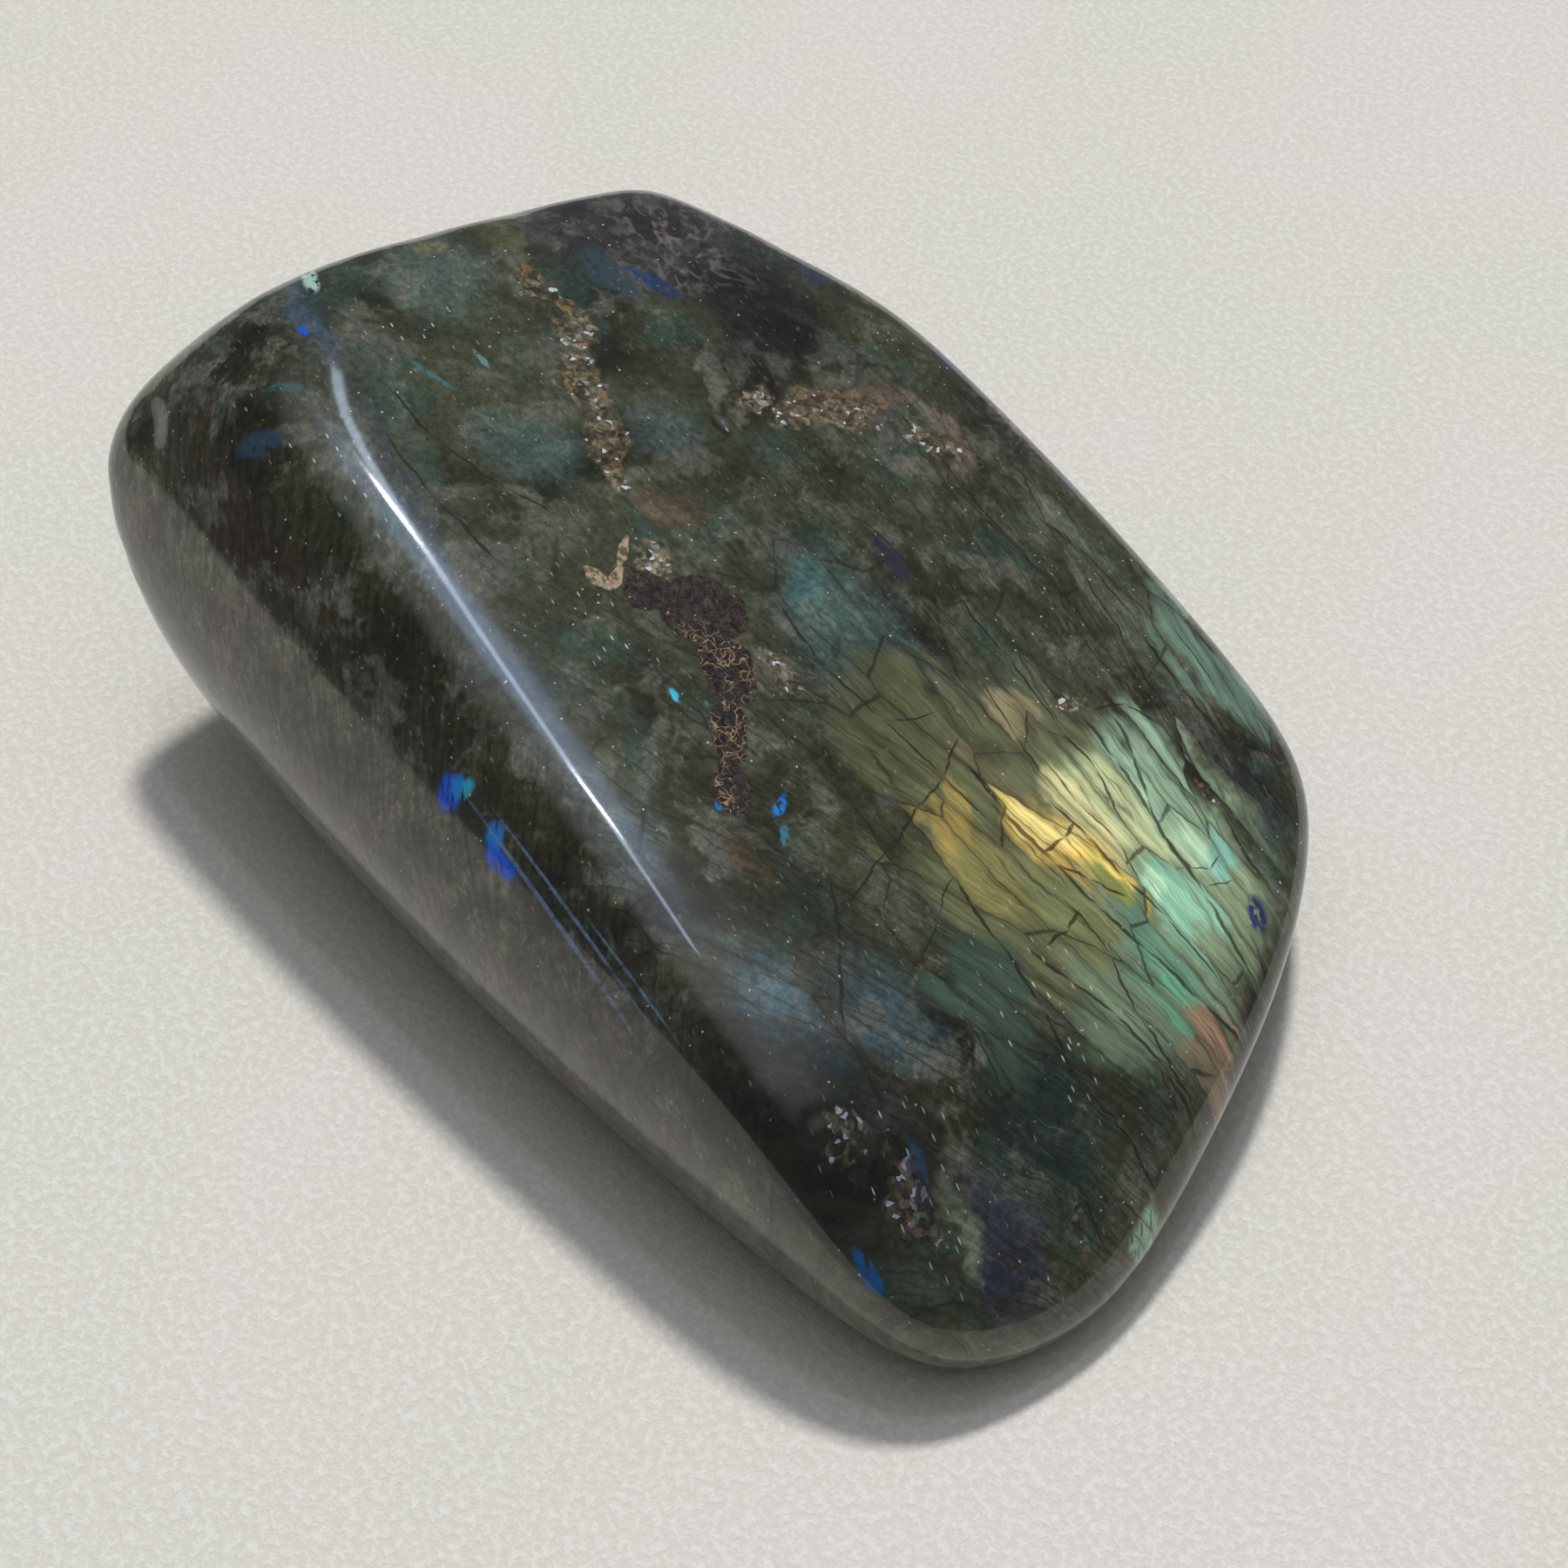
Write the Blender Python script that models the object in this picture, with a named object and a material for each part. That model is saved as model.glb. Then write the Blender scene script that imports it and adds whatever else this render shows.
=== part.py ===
"""Polished labradorite stone: one wedge-shaped piece, ground by hand into broad faces.

Frame: +X runs along the stone to its thin tip, +Y across it to the long straight side, +Z up.
The origin is under the middle of the stone's box, on the flat base that the stone stands on.

The stone is everything inside a set of slightly domed ground faces. Where two faces meet, the
polisher's pad has rounded the edge, so the surface is a soft maximum of the faces: it follows
each one over its middle and blends into its neighbours near the edges.
"""

import math

import bmesh
import bpy
import numpy as np

MM = 0.001

# Radius of the doming of a ground face, in millimetres: the top faces were lapped nearly flat,
# the sides were rocked against the wheel, and the base is a true plane.
LAPPED = 950.0
ROCKED = 380.0
PLANE = 1e9

# Softness of an edge, in millimetres: about a third of the radius where two faces meet squarely.
KEEN = 0.8
CRISP = 1.1
FIRM = 1.6
WORN = 2.0
BLUNT = 2.5

# The ground faces: the heading of the outward normal, in degrees from +X towards +Y; its pitch
# above the horizon, in degrees; the distance from the heart of the stone, in millimetres; the
# softness of its edges; and its doming.
FACES = {
    "top": (50, 73, 14.0, FIRM, LAPPED),
    "top towards the tip": (8, 50, 28.5, BLUNT, LAPPED),
    "flank": (285, 34, 24.0, WORN, LAPPED),
    "flank at the thick end": (230, 60, 41.0, FIRM, LAPPED),
    "wall": (284, 8, 26.0, KEEN, ROCKED),
    "heel": (195, -42, 35.0, WORN, ROCKED),
    "thick end, wall side": (190, -15, 47.5, KEEN, ROCKED),
    "thick end, back side": (175, -25, 56.0, KEEN, ROCKED),
    "bevel over the thick end": (183, 22, 51.0, KEEN, ROCKED),
    "back by the thick end": (122, 15, 48.5, KEEN, ROCKED),
    "back": (103, -18, 39.5, FIRM, ROCKED),
    "right side": (62, -5, 51.0, FIRM, ROCKED),
    "right side by the tip": (38, -13, 49.5, WORN, ROCKED),
    "tip": (340, -14, 54.5, WORN, ROCKED),
    "tip, wall side": (281, -25, 25.0, WORN, ROCKED),
    "undercut on the right": (47, -45, 40.5, WORN, ROCKED),
    "undercut at the tip": (346, -51, 44.0, WORN, ROCKED),
    "base": (0, -90, 14.2, CRISP, PLANE),
}

# Rough proportions of the stone, along X, Y and Z. The starting block has them, with so many
# squares along each of its edges, so that the mesh comes out even on the stone.
PROPORTIONS = (1.0, 0.75, 0.4)
SQUARES = 27

# No point of the stone is farther than this from its heart, in millimetres.
REACH = 95.0
HALVINGS = 40

# The base is flattened on the lap by this much, in millimetres, so that it is exactly plane.
LAP_DEPTH = 0.25


def facing(heading, pitch):
    """Unit vector with a heading round Z and a pitch above the horizon, in degrees."""
    turn = math.radians(heading)
    rise = math.radians(pitch)
    return (math.cos(turn) * math.cos(rise), math.sin(turn) * math.cos(rise), math.sin(rise))


NORMALS = np.array([facing(face[0], face[1]) for face in FACES.values()])
DISTANCES = np.array([face[2] for face in FACES.values()])
SOFTNESS = np.array([face[3] for face in FACES.values()])
DOMING = np.array([face[4] for face in FACES.values()])


def outside(points):
    """Soft maximum of the points' heights over all the faces: negative inside the stone."""
    height = points @ NORMALS.T
    off_axis = (points ** 2).sum(axis=1, keepdims=True) - height ** 2
    over = (height - DISTANCES + off_axis / (2.0 * DOMING)) / SOFTNESS
    return np.log(np.exp(over).sum(axis=1))


def on_surface(directions):
    """Points where rays from the heart of the stone leave it, found by halving."""
    rays = directions / np.linalg.norm(directions, axis=1, keepdims=True)
    near = np.zeros(len(rays))
    far = np.full(len(rays), REACH)
    for _ in range(HALVINGS):
        middle = (near + far) / 2.0
        out = outside(rays * middle[:, None]) > 0.0
        far = np.where(out, middle, far)
        near = np.where(out, near, middle)
    return rays * near[:, None]


def squared_block(bm):
    """A block with a grid of squares on each side, spaced to look even from its middle."""
    bmesh.ops.create_cube(bm, size=2.0)
    bmesh.ops.subdivide_edges(bm, edges=bm.edges[:], cuts=SQUARES - 1, use_grid_fill=True)
    for vert in bm.verts:
        vert.co = [math.tan(place * math.pi / 4.0) for place in vert.co]
    bmesh.ops.scale(bm, verts=bm.verts[:], vec=PROPORTIONS)


def grind_to_surface(bm):
    """Move every vertex, along its ray from the heart, onto the stone's surface."""
    directions = np.array([vert.co[:] for vert in bm.verts], dtype=float)
    for vert, point in zip(bm.verts, on_surface(directions)):
        vert.co = point


def lap_base(bm):
    """Flatten the underside onto one exact plane."""
    level = min(vert.co.z for vert in bm.verts) + LAP_DEPTH
    for vert in bm.verts:
        vert.co.z = max(vert.co.z, level)


def stand_on_origin(bm):
    """Put the middle of the stone's box over the origin and its base at height zero."""
    corners = np.array([vert.co[:] for vert in bm.verts])
    low = corners.min(axis=0)
    high = corners.max(axis=0)
    middle = (low + high) / 2.0
    bmesh.ops.translate(bm, verts=bm.verts[:], vec=(-middle[0], -middle[1], -low[2]))


def stone_mesh():
    """The whole stone as one closed mesh, in metres."""
    bm = bmesh.new()
    squared_block(bm)
    grind_to_surface(bm)
    lap_base(bm)
    stand_on_origin(bm)
    bmesh.ops.scale(bm, verts=bm.verts[:], vec=(MM, MM, MM))
    bmesh.ops.recalc_face_normals(bm, faces=bm.faces[:])
    mesh = bpy.data.meshes.new("stone")
    bm.to_mesh(mesh)
    bm.free()
    mesh.shade_smooth()
    return mesh


def labradorite():
    """Dark olive-grey feldspar with a high polish."""
    material = bpy.data.materials.new("labradorite")
    material.use_nodes = True
    shader = material.node_tree.nodes["Principled BSDF"]
    shader.inputs["Base Color"].default_value = (0.085, 0.09, 0.065, 1.0)
    shader.inputs["Roughness"].default_value = 0.12
    shader.inputs["Metallic"].default_value = 0.0
    return material


for leftover in list(bpy.data.objects):
    bpy.data.objects.remove(leftover)

stone = bpy.data.objects.new("stone", stone_mesh())
stone.data.materials.append(labradorite())
bpy.context.collection.objects.link(stone)
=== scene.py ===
import math

import bpy
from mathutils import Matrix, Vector, noise


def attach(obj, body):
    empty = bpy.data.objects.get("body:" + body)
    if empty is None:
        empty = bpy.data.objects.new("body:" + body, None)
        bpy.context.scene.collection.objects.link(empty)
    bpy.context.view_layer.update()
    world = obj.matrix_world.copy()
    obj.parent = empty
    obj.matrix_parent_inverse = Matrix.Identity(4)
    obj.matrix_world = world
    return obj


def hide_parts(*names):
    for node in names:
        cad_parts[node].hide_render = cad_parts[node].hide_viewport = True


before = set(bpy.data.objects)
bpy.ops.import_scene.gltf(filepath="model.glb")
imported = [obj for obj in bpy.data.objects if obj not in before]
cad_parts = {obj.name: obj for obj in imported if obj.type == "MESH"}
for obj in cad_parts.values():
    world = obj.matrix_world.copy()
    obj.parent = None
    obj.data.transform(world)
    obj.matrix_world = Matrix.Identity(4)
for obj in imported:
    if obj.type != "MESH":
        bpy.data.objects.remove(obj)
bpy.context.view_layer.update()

# ---------------------------------------------------------------- the polished stone
# One natural piece of labradorite, sawn from the rough, ground on a wheel into broad soft-edged
# faces and polished. Crumbly patches never took the polish, and left shallow pits where grains
# fell out.
MM = 0.001
SEAM = 0.01 * MM
FACE_TURN = math.radians(60.0)
SKIN_LEVELS = 2

# The ground form is copied, its seams are merged, and a fine skin is laid over it.
bpy.ops.object.select_all(action="DESELECT")
ground_form = bpy.data.objects["stone"]
ground_form.select_set(True)
bpy.context.view_layer.objects.active = ground_form
bpy.ops.object.duplicate()
stone = bpy.context.view_layer.objects.active
stone.name = "polished_stone"
stone.data.name = "polished_stone"

bpy.ops.object.mode_set(mode="EDIT")
bpy.ops.mesh.select_all(action="SELECT")
bpy.ops.mesh.remove_doubles(threshold=SEAM)
bpy.ops.mesh.tris_convert_to_quads(face_threshold=FACE_TURN, shape_threshold=FACE_TURN)
bpy.ops.object.mode_set(mode="OBJECT")

skin = stone.modifiers.new("skin", "SUBSURF")
skin.levels = SKIN_LEVELS
skin.render_levels = SKIN_LEVELS
bpy.ops.object.modifier_apply(modifier="skin")
bpy.ops.object.shade_smooth()

# Every marking on the stone is an oval in plan, in millimetres: the x and y of its middle, its
# half length, half width and turn in degrees. These are the crumbly patches.
GRANULAR = {
    "vein, start": (-36.5, 0.4, 3.2, 1.5, 20),
    "vein": (-31.9, 0.6, 5.0, 2.5, -4),
    "vein, middle": (-26, -0.9, 5.4, 2.9, -16),
    "vein, end": (-20.3, -2.7, 4.8, 3.1, -20),
    "by the rust": (-15.2, -3.4, 3.0, 1.8, -10),
    "right vein, start": (-20.8, 12.2, 2.2, 1.8, 0),
    "right vein": (-18.2, 17, 2.8, 6.4, -5),
    "right vein, end": (-13, 23.8, 3.8, 2.2, 25),
    "sparkling spot": (-7.2, -4.9, 2.9, 2.1, 40),
    "by the plate": (4.8, -0.9, 3.8, 1.8, 28),
    "tip": (43.2, -13.4, 3.6, 2.6, 10),
    "tip, left": (38.2, -16, 2.8, 1.8, 25),
    "white tuft": (46.8, -1.0, 1.8, 1.2, 0),
    "tuft over the mint": (22.4, 27.2, 1.7, 0.6, 0),
    "tuft by the mint": (12.6, 20.7, 1.6, 1.0, 20),
}

# The pits are ovals with a depth.
PITS = {
    "chip at the thick end": (-40.4, -33.0, 2.8, 1.7, 0, 0.5),
    "black hollow": (-19.2, 7.0, 1.7, 0.9, 10, 0.3),
    "hollow at the tip": (40.3, -7.5, 1.5, 0.9, 10, 0.25),
    "pinhole by the ridge": (-33.5, -25.3, 0.9, 0.8, 0, 0.3),
    "flank pit": (-22, -28, 1.4, 0.9, 20, 0.25),
    "second flank pit": (-24, -27.4, 0.9, 0.8, 0, 0.2),
    "hollow in the vein": (-22.6, -1.6, 1.2, 0.8, 30, 0.2),
    "hollow in the right vein": (-18.4, 15.2, 1.0, 0.9, 0, 0.2),
}
GRAIN_RELIEF = 0.16
GRAIN_WAVES = 0.9
PIT_ROUNDING = 1.5
UPPER_SIDE = 0.1


def inside(spot, x, y, long, wide, turn):
    """How deep inside an oval a spot is in plan: 1 in its middle, 0 or less outside."""
    lean = math.radians(turn)
    east = spot.x - x
    north = spot.y - y
    along = east * math.cos(lean) + north * math.sin(lean)
    across = north * math.cos(lean) - east * math.sin(lean)
    return 1.0 - (along / long) ** 2 - (across / wide) ** 2


# Crumbly patches are let in a little, unevenly, and pits are hollowed.
facings = [vert.normal.copy() for vert in stone.data.vertices]
for vert, facing in zip(stone.data.vertices, facings):
    if facing.z > UPPER_SIDE:
        spot = vert.co / MM
        crumble = max(inside(spot, *patch) for patch in GRANULAR.values())
        uneven = 0.4 + 0.6 * noise.noise(spot * GRAIN_WAVES)
        sunk = GRAIN_RELIEF * min(max(crumble, 0.0) * 2.0, 1.0) * uneven
        for *hollow, depth in PITS.values():
            sunk += depth * max(inside(spot, *hollow), 0.0) ** PIT_ROUNDING
        vert.co -= facing * sunk * MM


def top_of_stone(x, y):
    """Height in millimetres of the stone's upper side over a place in plan."""
    above = Vector((x * MM, y * MM, 1.0))
    found, place, _, _ = stone.ray_cast(above, Vector((0.0, 0.0, -1.0)))
    return place.z / MM if found else 0.0


# The colour comes from feldspar in thin crystal layers: dark olive-grey in the main, with mint,
# gold and blue where the layers flash, cleavage cracks that fan across, and crumbly grains. Painted
# light is laid in too: a painted glow and highlights by the ridge and along the flank's foot, and a
# painted reflection of the floor on the wall and round the tip.
polish = bpy.data.materials.new("labradorite polish")
polish.use_nodes = True
tree = polish.node_tree
shader = tree.nodes["Principled BSDF"]


def seen(red, green, blue):
    """A colour named by its 8-bit display values, as the linear colour that a shader takes."""
    values = [channel / 255.0 for channel in (red, green, blue)]
    return [v / 12.92 if v <= 0.04045 else ((v + 0.055) / 1.055) ** 2.4 for v in values] + [1.0]


def put(kind, inputs, **settings):
    """A node in the tree being made, with each input linked to a socket or set to a value."""
    node = tree.nodes.new("ShaderNode" + kind)
    for name, value in settings.items():
        setattr(node, name, value)
    for name, value in inputs.items():
        if isinstance(value, bpy.types.NodeSocket):
            tree.links.new(value, node.inputs[name])
        else:
            node.inputs[name].default_value = value
    return node


def calc(operation, *values):
    """One sum on plain numbers."""
    return put("Math", dict(enumerate(values)), operation=operation).outputs[0]


def times(first, second):
    """The product of two amounts."""
    return calc("MULTIPLY", first, second)


def shift(place, *moves):
    """A place moved by clouds of colour, each centred and given its reach in millimetres."""
    for drift, reach in moves:
        centred = put("VectorMath", {0: drift, 1: (0.5, 0.5, 0.5)}, operation="SUBTRACT").outputs[0]
        reached = put("VectorMath", {0: centred, "Scale": reach}, operation="SCALE").outputs[0]
        place = put("VectorMath", {0: place, 1: reached}, operation="ADD").outputs[0]
    return place


def dot(first, second):
    """The dot product of two vectors."""
    return put("VectorMath", {0: first, 1: second}, operation="DOT_PRODUCT").outputs["Value"]


def fade(value, start, end, low=0.0, high=1.0):
    """A smooth step: low at start, high at end."""
    inputs = {"Value": value, "From Min": start, "From Max": end, "To Min": low, "To Max": high}
    return put("MapRange", inputs, interpolation_type="SMOOTHSTEP", clamp=False).outputs["Result"]


def tint(under, over, amount, mode="MIX"):
    """One colour laid over another."""
    inputs = {"Factor": amount, 6: under, 7: over}
    return put("Mix", inputs, data_type="RGBA", blend_type=mode).outputs[2]


def cloud(place, grain, detail, rough=0.55):
    """Noise whose lumps are about grain millimetres across."""
    inputs = {"Vector": place, "Scale": 1.0 / grain, "Detail": detail, "Roughness": rough}
    return put("TexNoise", inputs)


def cells(place, grain, feature="F1", **settings):
    """Crystal cells about grain millimetres across."""
    inputs = {"Vector": place, "Scale": 1.0 / grain}
    return put("TexVoronoi", inputs, feature=feature, **settings)


def luck(crystals):
    """Three random amounts for each crystal cell."""
    return put("SeparateColor", {0: crystals.outputs["Color"]}).outputs


def hairline(pattern, level, outer, inner):
    """A line wherever a pattern passes through a level, from its outer to its inner half width."""
    return fade(calc("ABSOLUTE", calc("SUBTRACT", pattern, level)), outer, inner)


def oval(place, x, y, long, wide, turn):
    """How deep inside an oval a place is, from 0 at its rim to 1 in its middle. The oval lies on
    the upper side of the stone, over (x, y) in plan, and reaches most of the way down."""
    height = top_of_stone(x, y)
    ball = put("TexGradient", {"Vector": place}, gradient_type="SPHERICAL")
    ball.texture_mapping.vector_type = "TEXTURE"
    ball.texture_mapping.translation = (x, y, height)
    ball.texture_mapping.rotation = (0.0, 0.0, math.radians(turn))
    ball.texture_mapping.scale = (long, wide, 0.75 * height + 1.0)
    return ball.outputs["Fac"]


def largest(amounts):
    """The largest of several amounts at each place, taken in as each is made."""
    total = 0.0
    for amount in amounts:
        total = calc("MAXIMUM", total, amount)
    return total


def within(place, ovals):
    """How deep a place is inside the nearest of several named ovals."""
    return largest(oval(place, *shape) for shape in ovals.values())


# Places on the stone in millimetres, then bent by slow and quick drifts: a lot for soft clouds
# of colour, a little for what has a firm outline.
in_metres = put("TexCoord", {}).outputs["Object"]
place = put("Mapping", {"Vector": in_metres, "Scale": (1 / MM, 1 / MM, 1 / MM)}).outputs[0]
slow = cloud(place, 9.0, 1.0).outputs["Color"]
quick = cloud(place, 1.3, 1.0).outputs["Color"]
bent = shift(place, (slow, 7.0), (quick, 1.9))
firm = shift(place, (slow, 2.2), (quick, 0.5))

# The cleavage: cracks fan out from a point off the stone's right side, so a place is told by
# its turn and its distance from there. Long thin cells in those terms have the cracks as edges.
FAN_X = 75.0
FAN_Y = 26.0
CRACK_TURN = 0.050
CRACK_RUN = 12.0
FINE_TURN = CRACK_TURN * 0.36
FINE_RUN = CRACK_RUN * 1.5
FIBRE_TURN = 0.012
FIBRE_RUN = 5.0
SILK_TURN = 0.0045
SILK_RUN = 4.0

split = put("SeparateXYZ", {0: firm})
lengthwise = split.outputs["X"]
crosswise = split.outputs["Y"]
across = calc("SUBTRACT", crosswise, FAN_Y)
along = calc("SUBTRACT", FAN_X, lengthwise)
fan_turn = calc("ARCTAN2", across, along)
fan_run = calc("SQRT", calc("ADD", times(across, across), times(along, along)))


def fan(turn, run):
    """Places told by turn and run from the focus of the cleavage, in units of one cell."""
    turns = calc("DIVIDE", fan_turn, turn)
    runs = calc("DIVIDE", fan_run, run)
    return put("CombineXYZ", {"X": turns, "Y": runs}).outputs[0]


def flat_edges(place, grain):
    """Distance to the nearest edge between flat crystal cells."""
    return cells(place, grain, "DISTANCE_TO_EDGE", voronoi_dimensions="2D").outputs["Distance"]


coarse_fan = fan(CRACK_TURN, CRACK_RUN)
crack_edge = flat_edges(coarse_fan, 1.0)
fine_edge = flat_edges(fan(FINE_TURN, FINE_RUN), 1.0)
slabs = cells(coarse_fan, 1.0, voronoi_dimensions="2D")
slab_luck = luck(slabs)[0]
fibres = cloud(fan(FIBRE_TURN, FIBRE_RUN), 1.0, 2.0, 0.65).outputs[0]
silk = cloud(fan(SILK_TURN, SILK_RUN), 1.0, 1.0, 0.5).outputs[0]
cleaved = fade(calc("ADD", lengthwise, times(crosswise, 0.35)), -34.0, 12.0, 0.12, 1.0)

# The plain body of the stone.
BODY_DARK = seen(24, 23, 15)
BODY = seen(61, 64, 47)
BODY_PALE = seen(100, 101, 76)
BODY_TEAL = seen(50, 74, 66)
lumps = cloud(bent, 15.0, 2.0).outputs[0]
mottle = cloud(bent, 4.5, 3.0, 0.65).outputs[0]
dust = cloud(place, 0.6, 3.0, 0.8).outputs[0]
teal_cloud = cloud(bent, 7.0, 1.0).outputs[0]
colour = tint(BODY_DARK, BODY, fade(lumps, 0.32, 0.56))
colour = tint(colour, BODY_PALE, fade(mottle, 0.44, 0.72, 0.0, 0.35))
colour = tint(colour, BODY_TEAL, fade(teal_cloud, 0.5, 0.66, 0.0, 0.5))

# Broad tints in the body, and a painted glow beside the ridge highlight: each oval has a colour and a
# strength.
TINTS = {
    "flank": (-10, -27.5, 44, 6.5, 8, seen(38, 35, 24), 0.85),
    "rusty flank": (-24, -30.5, 17, 3.6, 8, seen(50, 38, 27), 0.85),
    "flank by the tip": (22, -22.5, 20, 3.0, 11, seen(48, 52, 44), 0.7),
    "thick end": (-44, 12, 13, 22, -12, seen(50, 48, 50), 0.85),
    "teal by the thick end": (-39, -7, 7, 6, 30, seen(88, 106, 98), 0.6),
    "sallow spot": (-43.5, -6, 2.4, 2.2, 0, seen(112, 106, 80), 0.7),
    "sallow corner": (-42, 0, 4.5, 2.6, 0, seen(96, 95, 66), 0.7),
    "sea green": (-20.5, -9, 6.5, 5.2, 20, seen(68, 88, 82), 0.7),
    "slate blue": (-20, 1.8, 4.4, 3.0, -20, seen(66, 80, 82), 0.6),
    "teal middle": (3, 7, 13, 7, 8, seen(70, 90, 86), 0.8),
    "pale blue": (9.5, 9.8, 4.6, 3.0, 10, seen(86, 106, 112), 0.7),
    "teal threads": (-3, 5.4, 3.8, 2.4, -40, seen(70, 104, 102), 0.6),
    "olive field": (22, -3, 11, 6, -12, seen(74, 74, 50), 0.6),
    "blue glow": (31, -15, 8.5, 3.6, 8, seen(76, 102, 112), 0.85),
    "blue haze": (31, -8.5, 7, 4.2, 0, seen(66, 88, 96), 0.75),
    "deep teal": (42, -0.5, 12, 7.5, -12, seen(30, 48, 43), 0.85),
    "navy tip": (47, -7.5, 5.5, 4.0, -20, seen(37, 42, 60), 0.85),
    "teal streak at the tip": (45, -10, 3.6, 1.6, 15, seen(112, 122, 104), 0.8),
    # Painted glow beside the ridge highlight: partly the stone's own blue schiller, partly painted
    # sheen.
    "ridge schiller and painted glow": (-12, -20.2, 34, 2.3, 0, seen(64, 74, 84), 0.45),
    "ridge schiller and painted glow by the tip": (16, -18.2, 14, 2.8, 5, seen(66, 78, 84), 0.45),
    "dark back": (-14, 31.2, 8.5, 2.8, 8, seen(24, 22, 25), 0.9),
    "blue back": (-34, 25.5, 3.4, 2.4, 20, seen(50, 62, 84), 0.7),
    "rosy band": (-18.8, 18.5, 2.4, 6.2, -6, seen(118, 97, 82), 0.75),
    "rosy patch": (-13.5, 25.2, 5.8, 2.6, -14, seen(134, 116, 102), 0.75),
    "rusty middle": (-11.5, -1.6, 3.6, 2.6, -20, seen(84, 67, 46), 0.7),
    "rust": (19, -10.6, 2.2, 1.5, 0, seen(84, 67, 46), 0.8),
    "rust at the tip": (37, -20, 2.4, 1.2, 10, seen(80, 52, 40), 0.8),
    "brown rim": (39, 16.5, 5, 2.2, -48, seen(98, 79, 60), 0.7),
    "slate": (24.5, 29.7, 6.8, 1.7, 0, seen(50, 58, 58), 0.9),
    "dark wedge": (34.5, 27.5, 4.5, 1.6, -50, seen(66, 68, 58), 0.7),
    "amber root": (23, 8.4, 5.2, 2.0, 10, seen(112, 80, 38), 0.85),
    "olive back": (6, 30.5, 15, 4.5, 6, seen(100, 104, 84), 0.6),
    "dark by the ridge": (24, -9, 10, 4.5, -10, seen(38, 40, 30), 0.6),
    "hidden back green": (8, 37.2, 14, 3.5, 0, seen(98, 124, 112), 0.7),
    "dim tip": (38, -17, 17, 9, 12, seen(17, 19, 16), 0.85),
    "dim thick end": (-31, 17, 11, 8, -20, seen(24, 24, 24), 0.85),
    # Painted glow: bluish light round the upper end of the ridge highlight.
    "painted blue glow at the ridge's end": (-38, -18.5, 7, 1.8, -4, seen(70, 86, 112), 0.4),
}
uneven_rim = times(calc("SUBTRACT", mottle, 0.5), 0.8)
for *shape, hue, strength in TINTS.values():
    depth = calc("ADD", oval(bent, *shape), uneven_rim)
    colour = tint(colour, hue, fade(depth, 0.0, 0.7, 0.0, strength))

# The wall carries a painted reflection of the pale floor: a grey sheen, tinged rosy in clouds and
# crossed by dark hairline veins of its own, which stops short at its upper edge. It is a shallow
# dome, so a place is told by its height over the dome's foot, in millimetres. The painted reflection
# goes on round the tip as a narrow pale rim.
WALL_TURN = math.radians(284.0)
WALL_LEAN = math.radians(8.0)
WALL_DOMING = 380.0
WALL_START = 22.7
WALL_FULL = 23.0
HEART = (0.0, -5.95, 13.95)
TIP_RIM = (0.6, 0.18, 1.0)
TIP_RIM_TOP = 35.9
TIP_RIM_FULL = 35.3
# Colours of the painted floor reflection on the wall, its rosy clouds and dark veins, and of the
# painted pale rim round the tip.
REFLECTED_FLOOR_DARK = seen(64, 65, 52)
REFLECTED_FLOOR_PALE = seen(92, 90, 78)
WALL_ROSY = seen(104, 84, 82)
WALL_VEIN_DARK = seen(34, 32, 26)
PAINTED_RIM_REFLECTION = seen(104, 104, 84)
wall_facing = (math.cos(WALL_TURN) * math.cos(WALL_LEAN),
               math.sin(WALL_TURN) * math.cos(WALL_LEAN), math.sin(WALL_LEAN))
edgy = shift(place, (quick, 0.25))
from_heart = put("VectorMath", {0: edgy, 1: HEART}, operation="SUBTRACT").outputs[0]
to_wall = dot(from_heart, wall_facing)
off_axis = calc("SUBTRACT", dot(from_heart, from_heart), times(to_wall, to_wall))
over_wall = calc("ADD", to_wall, calc("DIVIDE", off_axis, 2.0 * WALL_DOMING))
over_wall = calc("SUBTRACT", over_wall, fade(lengthwise, -5.0, 35.0, 0.0, 2.4))
wall = fade(over_wall, WALL_START, WALL_FULL)
rim_reflection = times(fade(dot(edgy, TIP_RIM), TIP_RIM_TOP, TIP_RIM_FULL), fade(lengthwise, 32.0, 38.0))
wall_cloud = cloud(place, 2.6, 3.0, 0.75).outputs[0]
rosy_cloud = cloud(bent, 5.0, 0.0).outputs[0]
# Painted reflection of the pale floor on the wall, tinged rosy in clouds and crossed by the wall's
# own dark hairline veins.
floor_reflection_and_veins = tint(REFLECTED_FLOOR_DARK, REFLECTED_FLOOR_PALE, fade(wall_cloud, 0.36, 0.66))
floor_reflection_and_veins = tint(floor_reflection_and_veins, WALL_ROSY, fade(rosy_cloud, 0.56, 0.7, 0.0, 0.5))
wall_vein = times(hairline(wall_cloud, 0.47, 0.012, 0.002), fade(lumps, 0.44, 0.56, 0.0, 0.7))
floor_reflection_and_veins = tint(floor_reflection_and_veins, WALL_VEIN_DARK, wall_vein)
colour = tint(colour, floor_reflection_and_veins, times(wall, 0.9))
# Painted reflection of the pale floor: a narrow pale rim round the tip.
colour = tint(colour, PAINTED_RIM_REFLECTION, times(rim_reflection, 0.6))

# The grain of the stone, from slabs of crystal down to dust, darkens and lightens what lies
# under it.
GRAIN_DARK = (0.3, 0.3, 0.3, 1.0)
GRAIN_PALE = (1.75, 1.75, 1.75, 1.0)


def grained(under, pattern, strength):
    """A colour darkened and lightened by a pattern that runs from 0 to 1."""
    return tint(under, tint(GRAIN_DARK, GRAIN_PALE, pattern), strength, "MULTIPLY")


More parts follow.
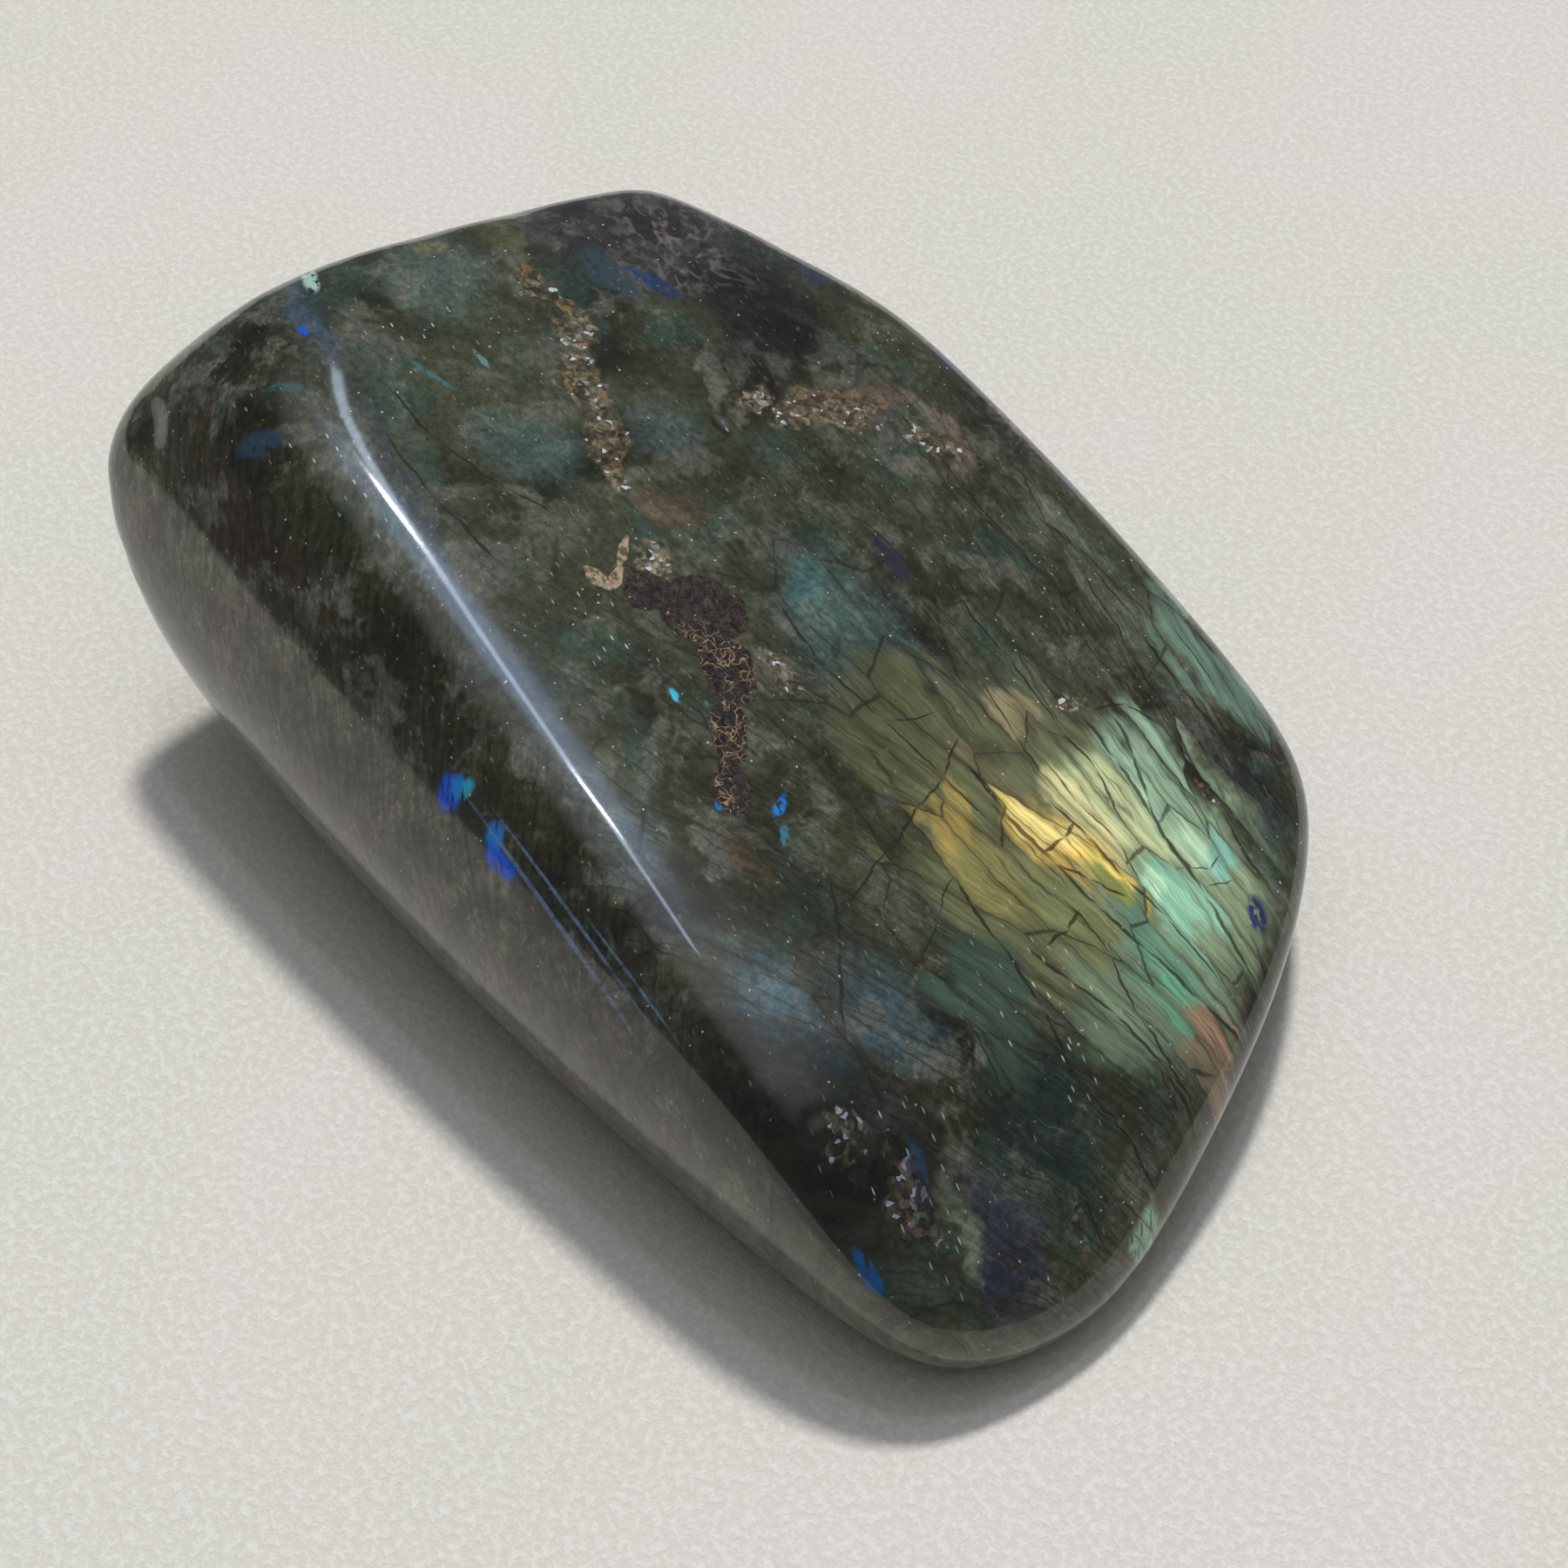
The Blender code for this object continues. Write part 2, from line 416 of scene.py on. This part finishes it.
facet_luck = luck(cells(firm, 4.2))[0]
colour = grained(colour, fade(dust, 0.3, 0.7), 0.5)
colour = grained(colour, fade(mottle, 0.3, 0.72), 0.3)
colour = grained(colour, facet_luck, 0.22)
colour = grained(colour, slab_luck, times(cleaved, 0.25))

# The flash: windows where the crystal layers throw light back. Each slab of crystal is tilted a
# little its own way, so it takes the flash more or less.
FLASHES = {
    "field": (23, 13, 19, 15, 10, seen(108, 110, 78)),
    "field, left": (14, 7, 11, 8, 0, seen(86, 88, 60)),
    "field, upper": (27, 20.5, 13.5, 9, -4, seen(146, 164, 128)),
    "field, right": (35, 12, 9, 9, 0, seen(118, 138, 110)),
    "field, lower": (25, 5, 12, 7, -6, seen(104, 106, 72)),
    "mint": (22.5, 23.6, 9.6, 4.0, 2, seen(156, 186, 156)),
    "turquoise, upper": (28.2, 24.2, 3.4, 2.4, -20, seen(140, 194, 172)),
    "bright mint": (25.0, 22.2, 5.2, 2.4, -8, seen(184, 214, 176)),
    "straw": (24.0, 18.6, 8.0, 4.0, -6, seen(196, 202, 150)),
    "turquoise, lower": (31.0, 18.0, 5.4, 3.2, -12, seen(154, 206, 172)),
    "turquoise core": (29.8, 17.6, 2.6, 1.2, -10, seen(192, 234, 192)),
    "pale straw": (21.5, 16.2, 5.2, 2.4, 0, seen(216, 208, 150)),
    "gold": (24.4, 12.4, 6.6, 4.4, 22, seen(236, 200, 106)),
    "gold core": (23.4, 12.2, 4.6, 3.2, 26, seen(252, 226, 140)),
    "gold, right": (27.6, 13.8, 3.8, 2.0, 26, seen(228, 204, 106)),
    "green gold": (29.5, 12.8, 3.2, 1.4, 30, seen(146, 150, 84)),
    "teal, right": (34.8, 12.6, 4.6, 2.6, 10, seen(112, 156, 130)),
    "teal, bright": (37.3, 12.0, 1.9, 1.5, 0, seen(104, 160, 126)),
    "moss": (29, 8.0, 5.2, 2.6, 18, seen(120, 124, 82)),
    "rose": (40.6, 13.2, 2.8, 3.0, -30, seen(148, 122, 98)),
    "khaki": (25.5, 4.6, 6.0, 2.6, 8, seen(134, 128, 78)),
    "brass": (19.6, 3.9, 4.4, 1.8, -10, seen(162, 142, 78)),
    "peach": (11.3, 15.4, 2.8, 2.4, 0, seen(152, 138, 106)),
    "fawn": (17.5, 11.6, 4.6, 2.0, 10, seen(112, 106, 76)),
    "teal top": (12.5, 34.4, 9.5, 2.8, 0, seen(106, 132, 116)),
    "sage": (34, -1.5, 8, 4, -10, seen(62, 80, 68)),
}
stepped = shift(bent, (slabs.outputs["Color"], 3.0))
lit = fade(slab_luck, 0.05, 0.75, 0.72, 1.0)
for *shape, hue in FLASHES.values():
    colour = tint(colour, hue, fade(oval(stepped, *shape), 0.0, 0.45, 0.0, lit))
colour = grained(colour, fade(fibres, 0.28, 0.72), times(cleaved, 0.36))

# Small vivid blue and cyan sparks, broken by the streaks that run down the flank.
COBALT = seen(10, 84, 215)
AZURE = seen(24, 120, 205)
SPARKS = {
    "flank cobalt": (2.2, -26.9, 1.5, 1.3, 10, COBALT),
    "flank azure": (2.6, -26.2, 1.1, 0.9, 10, AZURE),
    "flank cyan": (3.2, -25.8, 0.7, 0.8, 10, seen(44, 150, 180)),
    "flank cobalt, small": (8.3, -26.2, 1.9, 0.8, 10, COBALT),
    "flank azure, small": (7.0, -25.7, 1.0, 0.7, 10, AZURE),
    "ridge cobalt": (-37.0, -20.0, 0.7, 0.5, 0, seen(20, 80, 200)),
    "flank steel": (-29.0, -27.2, 2.4, 1.1, 45, seen(36, 60, 78)),
    "flank teal": (-31.8, -23.8, 2.2, 0.5, 60, seen(46, 80, 84)),
    "thick end blue": (-35.4, 9.8, 3.4, 1.2, 42, seen(26, 52, 98)),
    "thick end teal": (-37, 6.4, 4.4, 2.0, 10, seen(48, 66, 72)),
    "cyan dot": (4.7, -9.9, 0.75, 0.45, 0, seen(70, 190, 215)),
    "azure dot": (13.8, -11.0, 0.42, 0.36, 0, AZURE),
    "azure streak": (14.8, -6.9, 1.5, 0.5, -50, AZURE),
    "cyan gleam": (17.4, -7.8, 1.3, 0.45, -30, seen(58, 112, 122)),
    "cyan threads": (-29.2, -12.9, 2.8, 0.4, 30, seen(66, 106, 108)),
    "cyan thread": (-30.4, -8.3, 1.6, 0.3, 10, seen(96, 128, 124)),
    "mint corner": (-42.5, -16.9, 2.2, 0.9, -14, seen(152, 188, 176)),
    "tip blue": (44.7, -17.2, 1.7, 0.6, 20, seen(20, 84, 140)),
    "tip navy": (42.4, -11.8, 3.2, 0.9, -14, seen(38, 62, 94)),
    "rim gleam": (49.2, 3.6, 0.8, 2.2, 25, seen(150, 196, 166)),
    "navy spot": (33.8, 23.8, 2.0, 1.0, -30, seen(46, 52, 98)),
    "dark blue spot": (-3.0, 13.5, 3.4, 0.9, 8, seen(42, 46, 66)),
    "back blue": (-8, 34.6, 3.2, 1.1, 8, seen(62, 78, 122)),
    "back blue, left": (-22.5, 30.6, 2.2, 1.2, 20, seen(52, 58, 82)),
}
FLANK_RISE = Vector((-0.866, 0.5, 1.048))
STREAK = (0.5, 0.5, 3.2)
up_the_flank = FLANK_RISE.to_track_quat("Z", "Y").to_euler()
drawn_out = {"Vector": firm, "Rotation": up_the_flank, "Scale": STREAK}
streaks = cloud(put("Mapping", drawn_out, vector_type="TEXTURE").outputs[0], 1.0, 2.0, 0.6).outputs[0]
flank = fade(crosswise, -18.0, -22.0)
colour = grained(colour, fade(streaks, 0.3, 0.7), times(flank, 0.6))
broken = fade(streaks, 0.36, 0.5)
for *shape, hue in SPARKS.values():
    colour = tint(colour, hue, fade(oval(firm, *shape), 0.0, 0.5, 0.0, broken))

# Fine straight lines of painted highlight, pale blue, along the foot of the flank where it rounds
# into the wall.
PAINTED_CREASE_HIGHLIGHTS = {
    "outer": (14.0, -25.3, 13.5, 0.15, 6.5),
    "inner": (15.5, -24.3, 12.0, 0.12, 6.8),
    "short": (22.0, -22.9, 6.5, 0.11, 7.5),
}
HIGHLIGHT_BLUE = seen(98, 126, 160)
crease_highlight = fade(within(place, PAINTED_CREASE_HIGHLIGHTS), 0.0, 0.5)
colour = tint(colour, HIGHLIGHT_BLUE, times(crease_highlight, fade(dust, 0.3, 0.6, 0.3, 0.8)))

# The chief cracks: the half width of each, then the places in plan that it runs through.
CHIEF_CRACKS = {
    "top band": (0.26, (8, 30.6), (14, 30.4), (21, 30.7), (28.5, 32.2)),
    "top strip": (0.13, (8, 33.9), (15, 33.6), (27, 34.1)),
    "over the mint": (0.18, (2, 28.9), (10, 28.2), (17, 27.4), (24, 26.7), (32, 26.2)),
    "mint rim": (0.16, (14.2, 21.4), (14.4, 24.6), (17, 26.2), (20, 27.2)),
    "chief": (0.26, (14.2, 20.3), (19, 20.7), (24, 20.8), (31, 20.5), (39, 20.7)),
    "into the chief": (0.24, (15.4, 22.8), (19, 22.3), (22.5, 21.2), (27, 20.5)),
    "in the mint": (0.10, (14.8, 24.0), (21, 24.6), (28, 24.1)),
    "mint, right": (0.14, (28.4, 24.0), (29.3, 22.4), (28.7, 20.8)),
    "mint, far right": (0.10, (30.8, 24), (30.6, 21)),
    "under the mint": (0.16, (1, 16.9), (8, 18.0), (15, 18.1), (19, 18.7), (24, 18.2)),
    "straw": (0.12, (17, 15.2), (21, 15.6), (25, 16.6), (29, 16.2)),
    "over the gold": (0.22, (20.4, 13.4), (24, 14.3), (28, 15.1), (32, 16.6), (37, 17.6)),
    "over the gold, left": (0.15, (9, 14.4), (14, 13.9), (18, 14.3)),
    "across the gold": (0.24, (22.4, 14.0), (23.6, 12.4), (24.8, 10.0)),
    "gold, right": (0.20, (25.6, 10.4), (27.4, 12.2), (29.4, 14.3)),
    "under the gold": (0.32, (15.6, 9.0), (20.5, 9.4), (25.5, 10.5)),
    "under the gold, right": (0.28, (25.5, 10.5), (29.5, 11.4), (33.5, 13.1), (38, 15.1), (42, 17.4)),
    "second, right": (0.16, (28, 9.3), (33, 10.2), (38, 10.0), (45, 10.6)),
    "spur": (0.22, (29.4, 9.8), (30.6, 8.0), (31.2, 6.0)),
    "left of the amber": (0.18, (-2, 2.4), (5, 2.7), (10.6, 4.8), (16, 5.8), (21, 7.5)),
    "left upright": (0.14, (10.7, 9.2), (10.9, 5.2)),
    "left slant": (0.16, (13.2, 9.8), (16.4, 5.8), (18.6, 2.4)),
    "long slant": (0.18, (18.4, 2.9), (21.2, -0.6), (23.4, -6.4)),
    "right slant": (0.12, (24, 2.6), (26.6, -0.2), (30, -5.0)),
    "right low": (0.24, (24, 2.7), (30, 2.5), (35, 3.1), (40, 2.9), (48, 5.6)),
    "right middle": (0.24, (31, 4.4), (34, 6.2), (37.4, 8.4), (41.5, 9.7), (47, 10.4)),
    "right lowest": (0.16, (34, -3.4), (40, -2.6), (45, -0.4), (49.5, 0.6)),
    "middle long": (0.12, (-17, 12.4), (-8, 13.4), (0, 14.8), (7, 15.6)),
    "thick end long": (0.14, (-31, 13.0), (-23, 12.8), (-17, 12.5)),
    "middle upper": (0.13, (-18, 22.6), (-9, 23.6), (-1, 24.6), (6, 26)),
    "middle top": (0.12, (-5, 28.4), (1, 30.2), (8, 30.8)),
    "by the ridge": (0.16, (-29, -17), (-22.5, -15.2), (-16.5, -12.6), (-13.8, -10.6)),
    "along the ridge": (0.20, (-25, -19.0), (-17.5, -18.0), (-10, -16.2)),
    "black hollow": (0.7, (-20.6, 6.8), (-18, 7.3)),
    "black bit at the tip": (0.5, (39.4, -7.7), (41.3, -7.3)),
    "black chip": (1.7, (-42.2, -33.2), (-38.6, -33)),
    "to the tip": (0.22, (21, -6.6), (27, -9.3), (32.5, -11.7), (38, -12.1)),
}
CRACK_DARK = seen(30, 29, 20)
CRACK_HALO = seen(44, 41, 30)
SILK_PALE = seen(138, 146, 118)


def reach(start, end, half_width):
    """A dark crack between two places in plan, thickest in its middle."""
    run = Vector(end) - Vector(start)
    middle = (Vector(start) + Vector(end)) / 2.0
    turn = math.degrees(math.atan2(run.y, run.x))
    return oval(firm, middle.x, middle.y, run.length * 0.62, half_width * 0.85, turn)


reaches = ((start, end, half_width) for half_width, *points in CHIEF_CRACKS.values()
           for start, end in zip(points, points[1:]))
chief = fade(largest(reach(*each) for each in reaches), 0.0, 0.5)

# The net of lesser cracks between them, and silky threads beside the cleavage.
thickness = fade(cloud(place, 3.0, 0.0).outputs[0], 0.3, 0.7, 0.01, 0.028)
presence = fade(cloud(place, 6.0, 1.0).outputs[0], 0.3, 0.46)
coarse_net = times(fade(calc("DIVIDE", crack_edge, thickness), 1.0, 0.25), presence)
fine_net = times(fade(fine_edge, 0.06, 0.0), fade(mottle, 0.42, 0.6, 0.35, 0.9))
net = times(calc("MAXIMUM", coarse_net, fine_net), cleaved)
halo = times(fade(crack_edge, 0.2, 0.0), cleaved)
colour = tint(colour, CRACK_HALO, times(halo, 0.35))
colour = tint(colour, CRACK_DARK, times(calc("MAXIMUM", chief, times(net, 0.85)), 0.84))
thread_cloud = fade(cloud(place, 2.6, 1.0).outputs[0], 0.36, 0.56)
threads = times(fade(silk, 0.56, 0.72), times(cleaved, thread_cloud))
colour = tint(colour, SILK_PALE, times(threads, fade(crosswise, -20.0, 2.0, 0.0, 0.14)))

# Crumbly patches: crystal grains of every shade packed together, with ragged rims, whitest in
# their cores and silvery at the tip.
BRIGHT_CORES = {
    "vein": (-31.5, 0.9, 2.6, 0.9, -10),
    "vein, middle": (-24.5, -1.2, 2.8, 1.1, -20),
    "sparkling spot": (-7.2, -5.0, 2.2, 1.3, 40),
    "right vein": (-21.3, 12.2, 1.5, 1.0, 0),
    "by the plate": (4.8, -0.9, 2.6, 1.0, 28),
    "tip": (43.6, -13.6, 1.8, 1.0, 0),
}
GRAIN_SIZE = 0.72
SMALL_GRAIN_SIZE = 0.3
GRAIN_BROWN = seen(50, 46, 34)
GRAIN_BUFF = seen(116, 104, 80)
GRAIN_OCHRE = seen(126, 98, 62)
GRAIN_GREY = seen(138, 132, 112)
GRAIN_WHITE = seen(170, 170, 160)
GRAIN_GLINT = seen(214, 220, 226)
GRAIN_GAP = seen(22, 20, 15)
TIP_SILVER = (0.46, 0.5, 0.6, 1.0)
granular = fade(within(bent, GRANULAR), 0.0, 0.8)
ragged = cloud(place, 1.0, 2.0, 0.7).outputs[0]
crumbly = calc("ADD", granular, calc("ADD", times(ragged, 0.9), times(mottle, 0.5)))
crumbly = fade(crumbly, 0.8, 1.3)
grit = shift(place, (quick, 0.9))
grain = cells(grit, GRAIN_SIZE)
grain_luck = luck(grain)
small_luck = luck(cells(grit, SMALL_GRAIN_SIZE, voronoi_dimensions="2D"))
bright_core = fade(within(bent, BRIGHT_CORES), 0.0, 0.9)
grains = tint(GRAIN_BROWN, GRAIN_BUFF, fade(grain_luck[0], 0.05, 0.9))
grains = tint(grains, GRAIN_OCHRE, fade(grain_luck[2], 0.72, 0.9, 0.0, 0.7))
grains = tint(grains, GRAIN_GREY, fade(grain_luck[1], 0.7, 0.95, 0.0, 0.8))
grains = tint(grains, GRAIN_WHITE, times(bright_core, fade(small_luck[2], 0.25, 1.0, 0.0, 0.8)))
grains = grained(grains, small_luck[0], 0.9)
grains = tint(grains, GRAIN_GAP, fade(grain.outputs["Distance"], 0.45, 0.8, 0.0, 0.6))
grains = tint(grains, GRAIN_GLINT, fade(small_luck[1], 0.95, 0.98))
grains = tint(grains, TIP_SILVER, fade(lengthwise, 34.0, 38.0), "MULTIPLY")
colour = tint(colour, grains, times(crumbly, 0.74))

# The dark patch in the middle: a plate of another crystal under a net of golden hairlines, with
# a buff hook at its end.
DARK_PLATE = {
    "head": (-2.4, -3.6, 4.6, 5.2, -30),
    "shoulder": (-5.2, -7.0, 2.6, 3.0, 20),
    "waist": (3.2, -4.8, 5.2, 2.9, -18),
    "neck": (8.2, -7.4, 4.2, 1.9, -22),
    "tail": (12.8, -9.3, 4.0, 1.8, -18),
}
HAIRY = {
    "waist": (2.0, -4.4, 5.4, 3.2, -15),
    "neck": (8.0, -7.3, 4.2, 2.0, -20),
    "tail": (12.8, -9.3, 3.8, 1.8, -15),
}
BUFF = {
    "arm": (-7.4, -10.2, 2.2, 0.8, 20),
    "upright": (-9.0, -7.0, 2.6, 0.6, -42),
    "joint": (-6.9, -8.8, 1.9, 0.8, -50),
}
PLATE_DARK = seen(24, 20, 22)
PLATE_PALE = seen(60, 53, 50)
HAIR_GOLD = seen(150, 126, 92)
BUFF_DARK = seen(96, 82, 64)
BUFF_PALE = seen(178, 158, 132)
plate = fade(within(firm, DARK_PLATE), 0.0, 1.0)
plate = fade(calc("ADD", plate, times(ragged, 0.3)), 0.36, 0.42)
hair_place = shift(place, (quick, 1.2))
hair = hairline(cloud(hair_place, 1.5, 2.0, 0.6).outputs[0], 0.5, 0.022, 0.004)
fine_hair = times(fade(flat_edges(hair_place, 0.95), 0.045, 0.01), fade(ragged, 0.4, 0.6))
hairy = fade(within(bent, HAIRY), 0.15, 0.5)
hairs = times(calc("MAXIMUM", hair, fine_hair), calc("ADD", times(hairy, 0.8), 0.16))
plate_colour = tint(PLATE_DARK, PLATE_PALE, fade(dust, 0.32, 0.68))
plate_colour = tint(plate_colour, HAIR_GOLD, hairs)
colour = tint(colour, plate_colour, plate)
buff = fade(within(firm, BUFF), 0.0, 1.0)
buff = fade(calc("ADD", buff, times(ragged, 0.4)), 0.42, 0.55)
buff_colour = tint(BUFF_DARK, BUFF_PALE, fade(dust, 0.38, 0.62))
colour = tint(colour, buff_colour, times(buff, 0.9))

# The thick end is dark under pinkish-grey curls.
CURLS = {
    "curls": (-39, 14, 8.5, 6.5, 35),
    "curls, upper": (-44, 20, 7, 5, 40),
    "curls at the back": (-14, 32.6, 8, 1.8, 8),
}
CURL_PINK = seen(120, 110, 112)
curled = fade(within(bent, CURLS), 0.0, 0.8)
curl_lines = hairline(cloud(shift(place, (slow, 6.0)), 2.4, 1.0, 0.6).outputs[0], 0.52, 0.08, 0.01)
curl_lines = times(curl_lines, fade(ragged, 0.35, 0.6))
colour = tint(colour, CURL_PINK, times(times(curled, curl_lines), 0.75))

# Sparkles: broken crystal faces just under the polish, as points, as specks and as short ticks.
TICKED = {
    "by the thick end": (-35.5, -11.5, 4.6, 7.0, 10),
    "flank": (-24, -24, 14, 3.5, 6),
    "right": (36, 4, 11, 8, 0),
    "tip": (42, -12, 9, 7, 0),
    "middle": (-2, -12, 12, 4, 0),
}
SPARK_SPACING = 1.25
TICK_TURN = math.radians(-12.0)
TICK_SHAPE = (0.65, 2.4, 1.4)
SPARKLE_WHITE = seen(206, 214, 210)
SPARKLE_BLUE = seen(120, 176, 196)
SPARKLE_GOLD = seen(206, 180, 120)
spark = cells(place, SPARK_SPACING)
spark_luck = luck(spark)
points = times(fade(spark.outputs["Distance"], 0.09, 0.035), fade(spark_luck[0], 0.72, 0.8))
specks = times(fade(grain.outputs["Distance"], 0.15, 0.075), fade(grain_luck[0], 0.74, 0.78))
specks = times(specks, fade(lumps, 0.4, 0.6, 0.25, 0.8))
ticked = fade(within(bent, TICKED), 0.0, 0.8)
tick_inputs = {"Vector": place, "Rotation": (0.0, 0.0, TICK_TURN), "Scale": TICK_SHAPE}
tick = cells(put("Mapping", tick_inputs).outputs[0], 1.0, voronoi_dimensions="2D")
ticks = times(fade(tick.outputs["Distance"], 0.2, 0.1), fade(luck(tick)[0], 0.89, 0.93))
ticks = times(ticks, calc("ADD", times(ticked, 0.7), 0.14))
sparkle_colour = tint(SPARKLE_WHITE, SPARKLE_BLUE, fade(spark_luck[1], 0.7, 0.8))
sparkle_colour = tint(sparkle_colour, SPARKLE_GOLD, fade(spark_luck[2], 0.8, 0.9))
colour = tint(colour, sparkle_colour, times(largest([points, specks, ticks]), 0.85))

# The finish: clear gloss over a duller body, with a little relief among the crumbly grains.
relief = {"Height": cloud(place, 0.45, 1.0).outputs[0], "Distance": 0.15 * MM,
          "Strength": fade(crumbly, 0.0, 1.0, 0.05, 0.8)}
tree.links.new(colour, shader.inputs["Base Color"])
tree.links.new(fade(dust, 0.3, 0.7, 0.34, 0.5), shader.inputs["Roughness"])
tree.links.new(put("Bump", relief).outputs[0], shader.inputs["Normal"])
shader.inputs["Specular IOR Level"].default_value = 0.12
shader.inputs["Coat Weight"].default_value = 1.0
shader.inputs["Coat Roughness"].default_value = 0.075
shader.inputs["Coat IOR"].default_value = 1.56
stone.data.materials.clear()
stone.data.materials.append(polish)

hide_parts("stone")
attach(stone, "root")

# ---------------------------------------------------------------- the floor
# A plain pale slab with a fine pebbled face, wide enough that the polish mirrors it right out
# to its horizon.
FLOOR_WIDTH = 6.0
SLAB_SALLOW = (0.61, 0.585, 0.525, 1.0)
SLAB_ROSY = (0.635, 0.587, 0.54, 1.0)
SLAB_PEBBLE = (0.78, 0.755, 0.715, 1.0)

bpy.ops.object.select_all(action="DESELECT")
bpy.ops.mesh.primitive_plane_add(size=FLOOR_WIDTH, location=(0.0, 0.0, 0.0))
floor = bpy.context.view_layer.objects.active
floor.name = "floor"

slab = bpy.data.materials.new("pale slab")
slab.use_nodes = True
tree = slab.node_tree
slab_shader = tree.nodes["Principled BSDF"]
slab_metres = put("TexCoord", {}).outputs["Object"]
slab_place = put("Mapping", {"Vector": slab_metres, "Scale": (1 / MM, 1 / MM, 1 / MM)}).outputs[0]
pebbles = cloud(slab_place, 0.7, 2.0, 0.7).outputs[0]
stains = cloud(slab_place, 45.0, 2.0).outputs[0]
slab_colour = tint(SLAB_SALLOW, SLAB_ROSY, fade(stains, 0.4, 0.6))
slab_colour = tint(slab_colour, SLAB_PEBBLE, fade(pebbles, 0.42, 0.68, 0.0, 0.5))
slab_relief = put("Bump", {"Height": pebbles, "Strength": 0.6, "Distance": 0.3 * MM})
tree.links.new(slab_colour, slab_shader.inputs["Base Color"])
tree.links.new(slab_relief.outputs[0], slab_shader.inputs["Normal"])
slab_shader.inputs["Roughness"].default_value = 0.8
slab_shader.inputs["Specular IOR Level"].default_value = 0.2
floor.data.materials.append(slab)


# ---------------------------------------------------------------- light and camera
# One soft lamp high behind the thick end casts the shadow. Two compact glints and a long narrow
# strip beside it draw the bright line along the ridge, and the room is dim at the sides, bright
# overhead, with one soft bluish window.
def toward(heading, pitch):
    """Unit vector with a heading round Z and a pitch above the floor, in degrees."""
    turn = math.radians(heading)
    rise = math.radians(pitch)
    return Vector((math.cos(turn) * math.cos(rise), math.sin(turn) * math.cos(rise), math.sin(rise)))


def add_light(kind, name, heading, pitch, distance, power, colour):
    """A light at a distance from the stone, turned to face it."""
    bpy.ops.object.select_all(action="DESELECT")
    aim = toward(heading, pitch)
    bpy.ops.object.light_add(type=kind, location=aim * distance)
    light = bpy.context.view_layer.objects.active
    light.name = name
    light.rotation_euler = aim.to_track_quat("Z", "Y").to_euler()
    light.data.energy = power
    light.data.color = colour
    return light


def add_lamp(name, heading, pitch, spread, power, colour, mirrored=True):
    """A far, compact lamp: the light falls evenly on the whole floor."""
    light = add_light("SUN", name, heading, pitch, 1.0, power, colour)
    light.data.angle = math.radians(spread)
    light.visible_glossy = mirrored


def add_strip(name, heading, pitch, distance, length, width, power, colour):
    """A long strip light, standing upright in the plane of its heading."""
    light = add_light("AREA", name, heading, pitch, distance, power, colour)
    light.data.shape = "RECTANGLE"
    light.data.size = width
    light.data.size_y = length


WARM_WHITE = (1.0, 0.985, 0.97)
COOL_WHITE = (0.96, 0.98, 1.0)
PALE_BLUE = (0.62, 0.78, 1.0)
ROOM_SIDES = (0.105, 0.108, 0.11, 1.0)
ROOM_OVERHEAD = (0.78, 0.79, 0.795, 1.0)
WINDOW_LIGHT = (1.9, 2.4, 3.2, 1.0)
WINDOW_HEADING = 144.0
WINDOW_PITCH = 69.0

add_lamp("main", heading=147.0, pitch=63.5, spread=6.0, power=2.2, colour=WARM_WHITE, mirrored=False)
add_lamp("glint", heading=145.0, pitch=62.0, spread=1.6, power=0.14, colour=COOL_WHITE)
add_lamp("second glint", heading=142.0, pitch=78.0, spread=1.6, power=0.12, colour=COOL_WHITE)
add_strip("strip", heading=143.0, pitch=69.5, distance=5.0, length=4.1, width=0.2, power=18.0,
          colour=PALE_BLUE)

world = bpy.data.worlds.new("studio") if not bpy.data.worlds else bpy.data.worlds[0]
bpy.context.scene.world = world
world.use_nodes = True
tree = world.node_tree
outward = put("TexCoord", {}).outputs["Generated"]
upward = put("SeparateXYZ", {0: outward}).outputs["Z"]
room = tint(ROOM_SIDES, ROOM_OVERHEAD, fade(upward, 0.72, 0.95))
by_window = dot(outward, toward(WINDOW_HEADING, WINDOW_PITCH))
room = tint(room, WINDOW_LIGHT, fade(by_window, 0.97, 1.0))
tree.links.new(room, tree.nodes["Background"].inputs["Color"])

TARGET = Vector((4.95, -0.92, 13.95)) * MM
CAMERA_DISTANCE = 218.5 * MM
CAMERA_HEADING = -30.0
CAMERA_PITCH = 50.0
LENS = 64.0
SENSOR_WIDTH = 36.0
NEAREST = 0.01
camera_aim = toward(CAMERA_HEADING, CAMERA_PITCH)
bpy.ops.object.camera_add(location=TARGET + camera_aim * CAMERA_DISTANCE)
camera = bpy.context.view_layer.objects.active
camera.rotation_euler = camera_aim.to_track_quat("Z", "Y").to_euler()
camera.data.lens = LENS
camera.data.sensor_width = SENSOR_WIDTH
camera.data.clip_start = NEAREST
bpy.context.scene.camera = camera
bpy.context.scene.view_settings.view_transform = "Standard"
